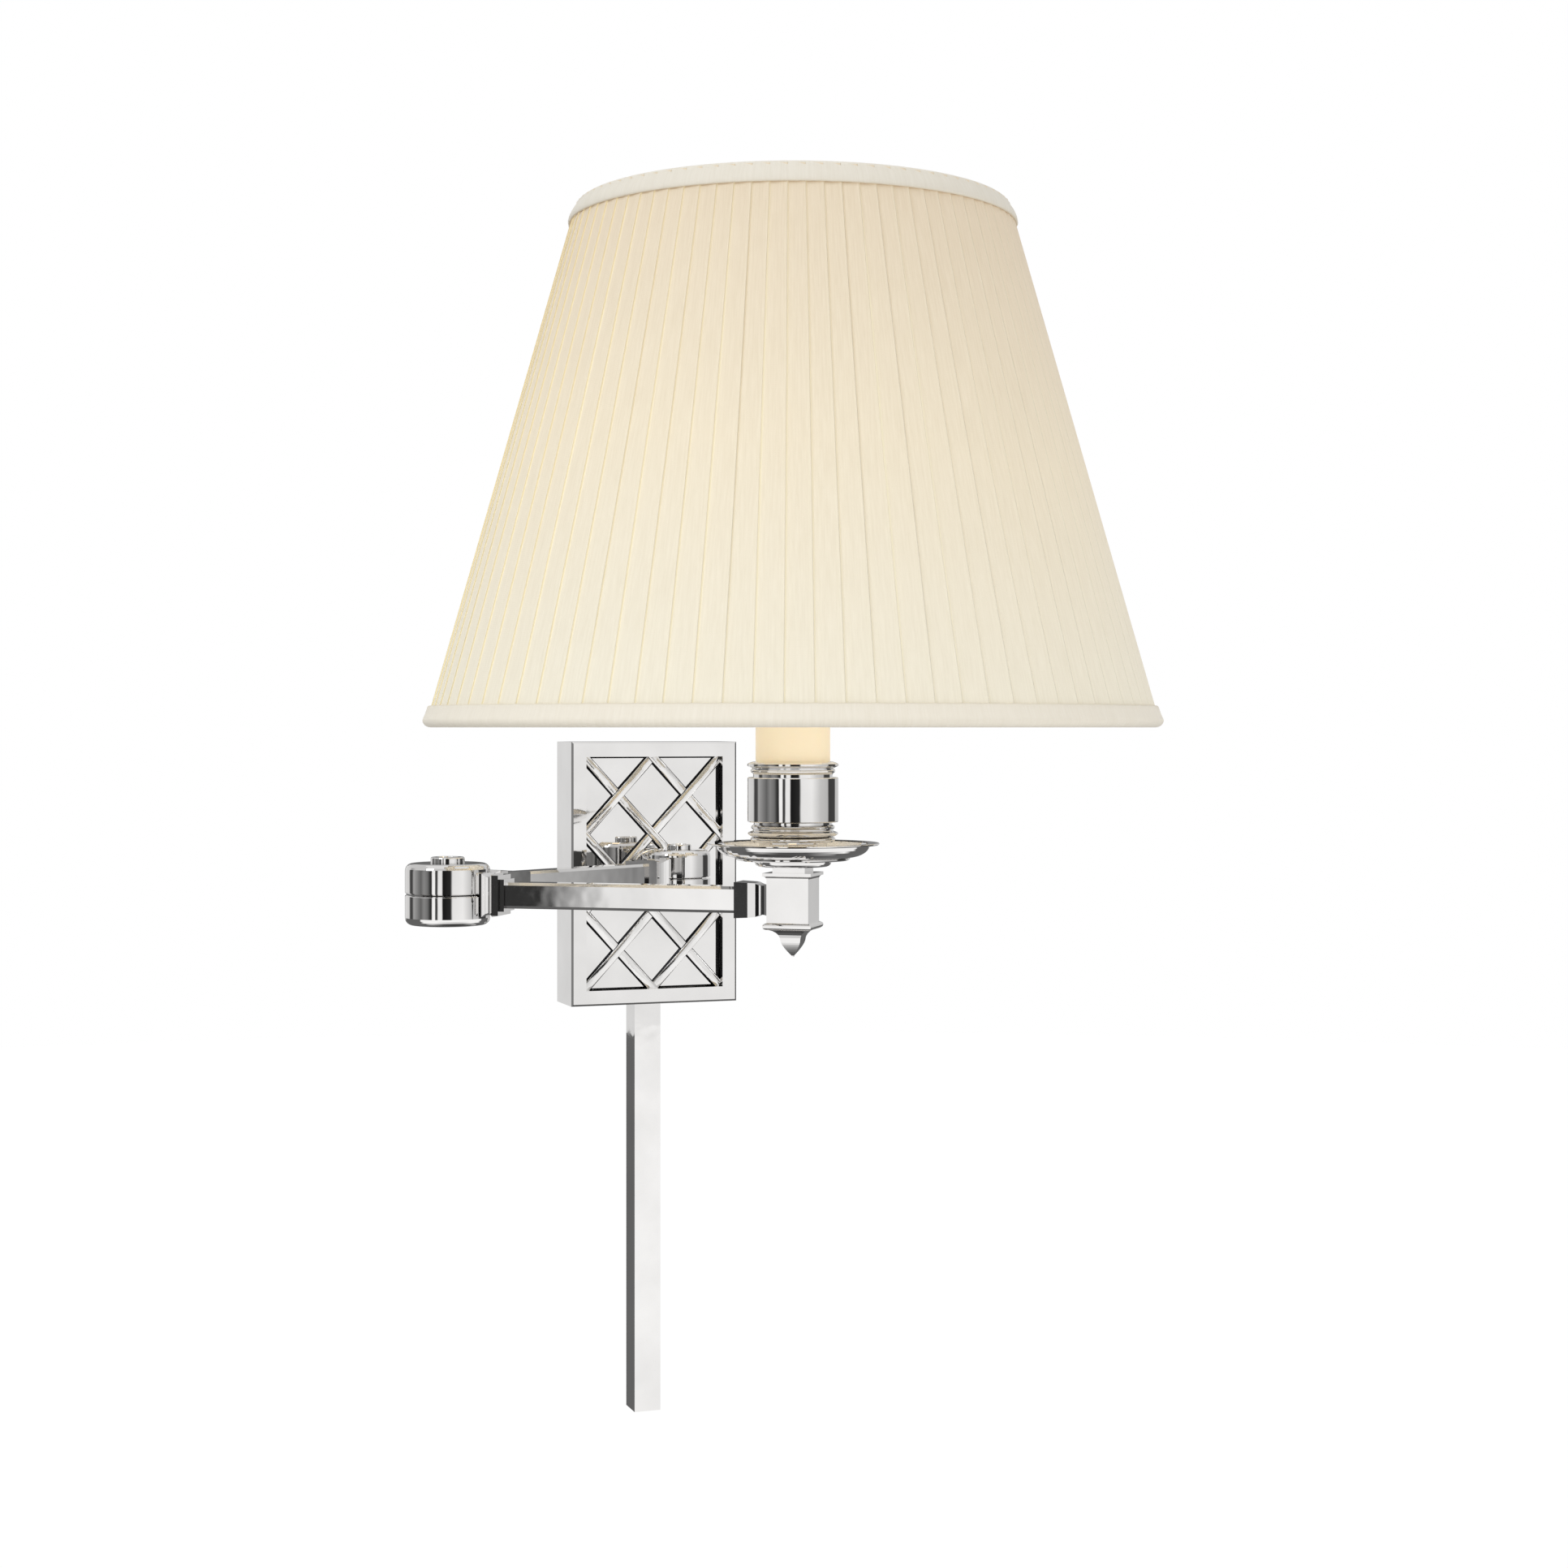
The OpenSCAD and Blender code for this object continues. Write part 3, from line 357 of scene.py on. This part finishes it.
# ---- cloth pieces ----
def sheet_of_revolution(name, columns, rows, point):
    """A mesh closed round the lamp, whose point(i, j) is column i and row j, with UVs in metres.
    Returns it with its width round the first row and its length along the first column."""
    grid = [[point(i, j) for i in range(columns)] for j in range(rows)]
    vertices = [LAMP.xy.to_3d() + Vector(p) for line in grid for p in line]
    faces = []
    for j in range(rows - 1):
        low, high = j * columns, (j + 1) * columns
        for i in range(columns):
            k = (i + 1) % columns
            faces.append((low + i, low + k, high + k, high + i))
    mesh = bpy.data.meshes.new(name)
    mesh.from_pydata(vertices, [], faces)
    across, up = [0.0], [0.0]
    for i in range(columns):
        across.append(across[-1] + (Vector(grid[0][(i + 1) % columns]) - Vector(grid[0][i])).length)
    for j in range(rows - 1):
        up.append(up[-1] + (Vector(grid[j + 1][0]) - Vector(grid[j][0])).length)
    uv = mesh.uv_layers.new(name="cloth")
    for polygon in mesh.polygons:
        for loop in polygon.loop_indices:
            j, i = divmod(mesh.loops[loop].vertex_index, columns)
            wraps = i == 0 and polygon.index % columns == columns - 1
            uv.data[loop].uv = (across[columns if wraps else i], up[j])
    for polygon in mesh.polygons:
        polygon.use_smooth = True
    piece = bpy.data.objects.new(name, mesh)
    bpy.context.scene.collection.objects.link(piece)
    return piece, across[-1], up[-1]


def mark_folds(piece, values):
    """How far each vertex is in a fold or seam, for the cloth's material."""
    piece.data.attributes.new("fold", "FLOAT", "POINT").data.foreach_set("value", values)


PLEATS = 84
PLEAT_ROWS = 22
CLOTH_PER_PLEAT = 17.3 * MM
# how far inside the CAD cover's outer face the cloth's middle lies, and how far a pleat's line wanders
PLEAT_IN = 0.9 * MM
SWAY = 0.35 * MM
# across one pleat: share of the visible pitch, share of the underlap, lift in mm and how much painted
# fold shade and glow
PLEAT = [
    (0.00, 0.0, 0.44, 0.35),
    (0.05, 0.0, 0.42, 0.08),
    (0.20, 0.0, 0.32, 0.0),
    (0.60, 0.0, 0.12, 0.0),
    (0.93, 0.0, -0.10, 0.06),
    (1.00, 0.0, -0.14, 0.65),
    (1.00, 1.0, -0.55, 0.9),
    (1.00, 0.9, -0.38, 0.9),
    (1.01, 0.1, 0.16, 0.9),
]
PLEAT_SWAY = [random.uniform(-1, 1) for _ in range(PLEATS)]


def pleat_point(i, j):
    """Folded cloth round the cone: the folds keep their cloth, so the underlap grows to the top."""
    z = COVER_Z[0] + (COVER_Z[1] - COVER_Z[0]) * j / (PLEAT_ROWS - 1)
    pleat, step = divmod(i, len(PLEAT))
    pitch = 2 * math.pi * cone_r(z) / PLEATS
    underlap = (CLOTH_PER_PLEAT - pitch) / 2
    share, under, lift, _ = PLEAT[step]
    sway = SWAY * PLEAT_SWAY[pleat] * math.sin(math.pi * j / (PLEAT_ROWS - 1))
    angle = 2 * math.pi * (pleat + share + under * underlap / pitch + sway / pitch) / PLEATS
    r = cone_r(z) - PLEAT_IN + lift * MM
    return (r * math.cos(-angle), r * math.sin(-angle), z)


def pleated_cover():
    columns = PLEATS * len(PLEAT)
    piece, _, length = sheet_of_revolution("pleated_cover", columns, PLEAT_ROWS, pleat_point)
    mark_folds(piece, [PLEAT[v % len(PLEAT)][3] for v in range(len(piece.data.vertices))])
    dress(piece, SLOT_MATERIAL["shade_fabric"])
    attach(piece, "front_arm")
    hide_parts("shade_cover")


pleated_cover()

LINER_IN = 2.95 * MM
LINER_SLACK = 0.25 * MM
LINER_COLUMNS = 144
LINER_ROWS = 14
RIBS = 6


def liner_point(i, j):
    """Smooth lining inside the cover, a little slack between the ribs."""
    z = COVER_Z[0] + (COVER_Z[1] - COVER_Z[0]) * j / (LINER_ROWS - 1)
    angle = 2 * math.pi * i / LINER_COLUMNS
    slack = LINER_SLACK * math.cos(RIBS * angle) * math.sin(math.pi * j / (LINER_ROWS - 1))
    r = cone_r(z) - LINER_IN + slack
    return (r * math.cos(angle), r * math.sin(angle), z)


def lining():
    piece, width, length = sheet_of_revolution("shade_lining", LINER_COLUMNS, LINER_ROWS, liner_point)
    dress(piece, SLOT_MATERIAL["shade_lining"])
    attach(piece, "front_arm")
    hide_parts("shade_liner")


lining()


BAND_COLUMNS = 504
BAND_IN = 7.2 * MM
# puckers where the band is stitched on: how many go round and how deep each set is
PUCKERS = [(84, 1.0), (131, 0.7), (47, 0.6)]
PUCKER_DEPTH = 0.09 * MM
# how much painted shade the stitched side's first rows get
SEAM_SHADE = {0: 1.0, 1: 0.7, 2: 0.1}


def band(name, node, edge_z, open_z, proud, seam):
    """A rolled cloth band over the shade's edge, with small puckers where it is stitched on.
    proud and seam are how far it stands off the cone at the edge and by its stitched side."""
    up = 1 if open_z > edge_z else -1
    rim = cone_r(edge_z)
    mouth = cone_r(open_z)
    # radius, height and the puckers' share, from the stitched side round the edge to the inside
    profile = [
        (mouth - 0.6 * MM, open_z - up * 0.2 * MM, 0.2),
        (mouth + 0.3 * seam, open_z, 1.0),
        (mouth + 0.8 * seam, open_z - up * 0.7 * MM, 0.8),
        (mouth + seam, open_z - up * 1.9 * MM, 0.5),
        ((mouth + rim + seam + proud) / 2 + 0.2 * MM, (open_z + edge_z) / 2, 0.25),
        (rim + proud + 0.3 * MM, edge_z + up * 3.4 * MM, 0.2),
        (rim + proud - 0.3 * MM, edge_z + up * 1.6 * MM, 0.2),
        (rim + proud - 1.7 * MM, edge_z + up * 0.4 * MM, 0.2),
        (rim - 3.2 * MM, edge_z + up * 0.05 * MM, 0.1),
        (rim - 5.2 * MM, edge_z + up * 0.2 * MM, 0.1),
        (rim - BAND_IN + 0.2 * MM, edge_z + up * 1.0 * MM, 0.2),
        (rim - BAND_IN, edge_z + up * 2.6 * MM, 0.4),
        (mouth - BAND_IN, open_z - up * 0.5 * MM, 0.6),
        (mouth - BAND_IN + 0.9 * MM, open_z - up * 0.1 * MM, 0.3),
    ]
    phases = [random.uniform(0, 2 * math.pi) for _ in PUCKERS]

    def point(i, j):
        r, z, loose = profile[j]
        angle = 2 * math.pi * i / BAND_COLUMNS
        pucker = sum(depth * math.sin(n * angle + phase) for (n, depth), phase in zip(PUCKERS, phases))
        shift = PUCKER_DEPTH * loose * pucker
        return ((r + shift) * math.cos(angle), (r + shift) * math.sin(angle), z + up * 0.6 * shift)

    piece, _, length = sheet_of_revolution(name, BAND_COLUMNS, len(profile), point)
    mark_folds(piece, [SEAM_SHADE.get(v // BAND_COLUMNS, 0.0) for v in range(len(piece.data.vertices))])
    dress(piece, SLOT_MATERIAL["shade_band"])
    smooth = piece.modifiers.new("round", "SUBSURF")
    smooth.levels = smooth.render_levels = 1
    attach(piece, "front_arm")
    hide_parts(node)


band("bottom_band", "shade_trim_bottom", EDGE_Z[0], BOTTOM_BAND_TOP_Z, 0.5 * MM, BAND_PROUD)
band("top_band", "shade_trim_top", EDGE_Z[1], TOP_BAND_LOW_Z, 0.3 * MM, 0.5 * MM)


# ---- the back plate's woven lattice ----
LATTICE_LOW, LATTICE_HIGH = (Vector(v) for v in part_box("lattice_panel"))
CELL_W = (LATTICE_HIGH.x - LATTICE_LOW.x) / 4
CELL_H = (LATTICE_HIGH.z - LATTICE_LOW.z) / 6
STRAP_T = 1.2 * MM
STRAP_OVER = 1.0 * MM
BOSS_R = 12.5 * MM
# where the straps' feet are, just in front of the recess floor
STRAP_FOOT_Y = LATTICE_HIGH.y - 0.02 * MM
# across a strap from its left side: place in mm, share of the strap's height, and how dark its painted
# shade is
STRAP = [
    (-2.90, 0.00, 1.0), (-2.35, 0.02, 1.0), (-2.20, 0.85, 0.95), (-1.85, 1.00, 0.1), (0.0, 1.06, 0.0),
    (1.85, 1.00, 0.0), (2.20, 0.85, 0.45), (2.35, 0.02, 0.80), (2.75, 0.00, 0.65),
]
STRAP_STEPS = 150
# how many cells a strap reaches either way before it is cut to the recess
STRAP_REACH = 3.2
STRAP_LINES = (-3, -1, 1, 3)
# round the recess: distance in from its side and forward of its floor, both in mm, and how dark its
# painted shade is
RIM = [(0.85, 0.03, 0.75), (0.3, 0.15, 0.9), (0.02, 0.9, 0.6)]
RIM_STEPS = 30


def weave_height(u, direction):
    """A strap's height where it is u cells from the middle: it goes over every second crossing."""
    over = 1 if direction == 1 else 0
    rise = 0.5 + 0.5 * math.cos(math.pi * (u - over))
    return STRAP_T + STRAP_OVER * min(1, max(0, 1.6 * rise - 0.3))


def lattice():
    """Eight woven straps and a soft line round the recess, all clear of the centre boss, with painted
    shade along their sides.
    """
    made = bmesh.new()
    edge = made.verts.layers.float.new("edge")

    def ribbon(rows):
        """Faces between neighbouring rows of (place, how dark the painted shade is)."""
        last = None
        for row in rows:
            line = []
            for place, black in row:
                vertex = made.verts.new(place)
                vertex[edge] = black
                line.append(vertex)
            if last:
                for k in range(len(line) - 1):
                    made.faces.new((last[k], line[k], line[k + 1], last[k + 1])).smooth = True
            last = line

    for direction in (-1, 1):
        along = Vector((CELL_W, direction * CELL_H)).normalized()
        across = Vector((along.y, -along.x)) * (1 if direction == -1 else -1)
        for line in STRAP_LINES:
            rows = []
            for step in range(STRAP_STEPS + 1):
                start = line if abs(line) == 3 else 0
                u = -STRAP_REACH + 2 * STRAP_REACH * step / STRAP_STEPS + start
                centre = Vector((u * CELL_W, direction * (u - line) * CELL_H))
                height = weave_height(u, direction)
                row = []
                for aside, share, black in STRAP:
                    x = centre.x - across.x * aside * MM
                    z = centre.y - across.y * aside * MM
                    row.append(((x, STRAP_FOOT_Y - share * height, z), black))
                rows.append(row)
            ribbon(rows)
    half_w, half_h = 2 * CELL_W, 3 * CELL_H
    for turn in range(4):
        x, z = (half_w, half_h) if turn % 2 == 0 else (half_h, half_w)
        spin = Matrix.Rotation(turn * math.pi / 2, 3, "Y")
        rows = []
        for step in range(RIM_STEPS + 1):
            t = -z + 2 * z * step / RIM_STEPS
            row = []
            for aside, forward, black in RIM:
                place = spin @ Vector((x - aside * MM, 0, t))
                row.append((place + Vector((0, LATTICE_HIGH.y - forward * MM, 0)), black))
            rows.append(row)
        ribbon(rows)
    for side in (-1, 1):
        for place, normal in ((Vector((side * half_w, 0, 0)), Vector((side, 0, 0))),
                              (Vector((0, 0, side * half_h)), Vector((0, 0, side)))):
            everything = made.verts[:] + made.edges[:] + made.faces[:]
            bmesh.ops.bisect_plane(made, geom=everything, dist=1e-7, plane_co=place, plane_no=normal,
                                   clear_outer=True)
    hidden = [f for f in made.faces if all(math.hypot(v.co.x, v.co.z) < BOSS_R for v in f.verts)]
    bmesh.ops.delete(made, geom=hidden, context="FACES")
    mesh = bpy.data.meshes.new("woven_lattice")
    made.to_mesh(mesh)
    made.free()
    piece = bpy.data.objects.new("woven_lattice", mesh)
    bpy.context.scene.collection.objects.link(piece)
    dress(piece, LATTICE_METAL)
    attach(piece, "wall_mount")
    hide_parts("lattice_panel")


lattice()


# ---- floor, world and lights ----
FLOOR_Z = -1.0
FLOOR_R = 7.6
# what the metal sees of the floor: share of FLOOR_REACH from the lamp, and brightness
FLOOR_REACH = 1.25
FLOOR_STOPS = [(0.0, 0.04), (0.24, 0.10), (0.48, 0.50), (0.80, 1.10)]


def stage_floor():
    """White to the camera; to the metal it is dark under the object and behind the wall's plane, painted
    shade seen only in reflections.
    """
    bpy.ops.mesh.primitive_circle_add(vertices=96, radius=FLOOR_R, fill_type="NGON",
                                      location=(0, 0, FLOOR_Z))
    floor = bpy.context.object
    floor.name = "floor"
    s = Shader("floor")
    s.set(Base_Color=(0.02, 0.02, 0.02, 1), Roughness=1.0, Specular_IOR_Level=0.0)
    split = s.nodes.new("ShaderNodeSeparateXYZ")
    s.links.new(s.coords, split.inputs[0])
    spot = s.nodes.new("ShaderNodeVectorMath")
    spot.operation = "DISTANCE"
    s.links.new(s.coords, spot.inputs[0])
    spot.inputs[1].default_value = (LAMP.x, LAMP.y, 0)
    near = s.math("MULTIPLY", spot.outputs["Value"], 1 / FLOOR_REACH)
    under = s.ramp(near, FLOOR_STOPS)
    behind = s.ramp(s.math("ADD", split.outputs["Y"], 0.1), [(0.0, 1.0), (0.25, 0.12)])
    mirrored = s.mix(1.0, under, behind, "MULTIPLY")
    path = s.nodes.new("ShaderNodeLightPath")
    s.link(s.mix(path.outputs["Is Camera Ray"], mirrored, (1.0, 1.0, 1.0)), "Emission Color")
    s.set(Emission_Strength=1.0)
    dress(floor, s.material)


# share of a turn from -X through -Y, and how bright the studio is there: 1 is its light, 0 a black flag
FLAG_STOPS = [
    (0.000, 0.15), (0.030, 0.30), (0.060, 0.20), (0.080, 0.03), (0.094, 0.03), (0.098, 1.10),
    (0.119, 1.20), (0.123, 0.03), (0.139, 0.08), (0.143, 1.05), (0.172, 1.05), (0.178, 0.00),
    (0.240, 0.02), (0.252, 1.00), (0.330, 1.08), (0.400, 0.70), (0.468, 0.60), (0.480, 0.05),
    (0.560, 0.06), (0.578, 0.75), (0.600, 0.62), (0.650, 0.80), (0.700, 0.12), (0.740, 0.20),
    (0.765, 0.85), (0.860, 0.80), (0.880, 0.05), (0.910, 0.08), (0.925, 0.45), (1.000, 0.15),
]
STUDIO_DARK = 0.01
STUDIO_LIGHT = 0.95
STUDIO_CEILING = 0.7


def world():
    """White to the camera; what the metal mirrors is a white studio with dark upright flags in it."""
    made = bpy.data.worlds.new("studio")
    bpy.context.scene.world = made
    made.use_nodes = True
    nodes, links = made.node_tree.nodes, made.node_tree.links
    nodes.clear()
    coords = nodes.new("ShaderNodeTexCoord")
    split = nodes.new("ShaderNodeSeparateXYZ")
    links.new(coords.outputs["Generated"], split.inputs[0])
    turn = nodes.new("ShaderNodeMath")
    turn.operation = "ARCTAN2"
    links.new(split.outputs["Y"], turn.inputs[0])
    links.new(split.outputs["X"], turn.inputs[1])
    share = nodes.new("ShaderNodeMapRange")
    share.inputs["From Min"].default_value = -math.pi
    share.inputs["From Max"].default_value = math.pi
    links.new(turn.outputs[0], share.inputs["Value"])
    flags = nodes.new("ShaderNodeValToRGB")
    flags.color_ramp.interpolation = "LINEAR"
    while len(flags.color_ramp.elements) < len(FLAG_STOPS):
        flags.color_ramp.elements.new(0.5)
    for element, (position, value) in zip(flags.color_ramp.elements, FLAG_STOPS):
        element.position = position
        tone = STUDIO_DARK + (STUDIO_LIGHT - STUDIO_DARK) * value
        element.color = (tone, tone, tone, 1)
    links.new(share.outputs[0], flags.inputs["Fac"])
    height = nodes.new("ShaderNodeValToRGB")
    height.color_ramp.elements[0].position = 0.62
    height.color_ramp.elements[0].color = (0, 0, 0, 1)
    height.color_ramp.elements[1].position = 0.72
    height.color_ramp.elements[1].color = (1, 1, 1, 1)
    raise_z = nodes.new("ShaderNodeMapRange")
    raise_z.inputs["From Min"].default_value = -1
    raise_z.inputs["From Max"].default_value = 1
    links.new(split.outputs["Z"], raise_z.inputs["Value"])
    links.new(raise_z.outputs[0], height.inputs["Fac"])
    above = nodes.new("ShaderNodeMix")
    above.data_type = "RGBA"
    links.new(height.outputs["Color"], above.inputs[0])
    links.new(flags.outputs["Color"], above.inputs[6])
    above.inputs[7].default_value = (STUDIO_CEILING, STUDIO_CEILING, STUDIO_CEILING, 1)
    seen = nodes.new("ShaderNodeMix")
    seen.data_type = "RGBA"
    path = nodes.new("ShaderNodeLightPath")
    links.new(path.outputs["Is Camera Ray"], seen.inputs[0])
    links.new(above.outputs[2], seen.inputs[6])
    seen.inputs[7].default_value = (1, 1, 1, 1)
    background = nodes.new("ShaderNodeBackground")
    links.new(seen.outputs[2], background.inputs["Color"])
    out = nodes.new("ShaderNodeOutputWorld")
    links.new(background.outputs[0], out.inputs[0])


def area_light(name, place, target, size, power, colour=(1, 1, 1)):
    light = bpy.data.objects.new(name, bpy.data.lights.new(name, "AREA"))
    bpy.context.scene.collection.objects.link(light)
    light.data.shape = "RECTANGLE"
    light.data.size, light.data.size_y = size
    light.data.energy = power
    light.data.color = colour
    light.location = place
    light.rotation_euler = (Vector(target) - Vector(place)).to_track_quat("-Z", "Y").to_euler()


stage_floor()
world()
area_light("overhead", (0, -0.4, 2.4), (0, -0.3, 0), (3.5, 3.5), 8)
area_light("key", (-2.0, -0.9, 1.6), (0, -0.25, 0.1), (0.8, 1.4), 18.0, (0.94, 0.97, 1.0))
area_light("fill", (1.7, -1.2, 1.3), (0, -0.2, 0.1), (0.5, 1.0), 1.5)
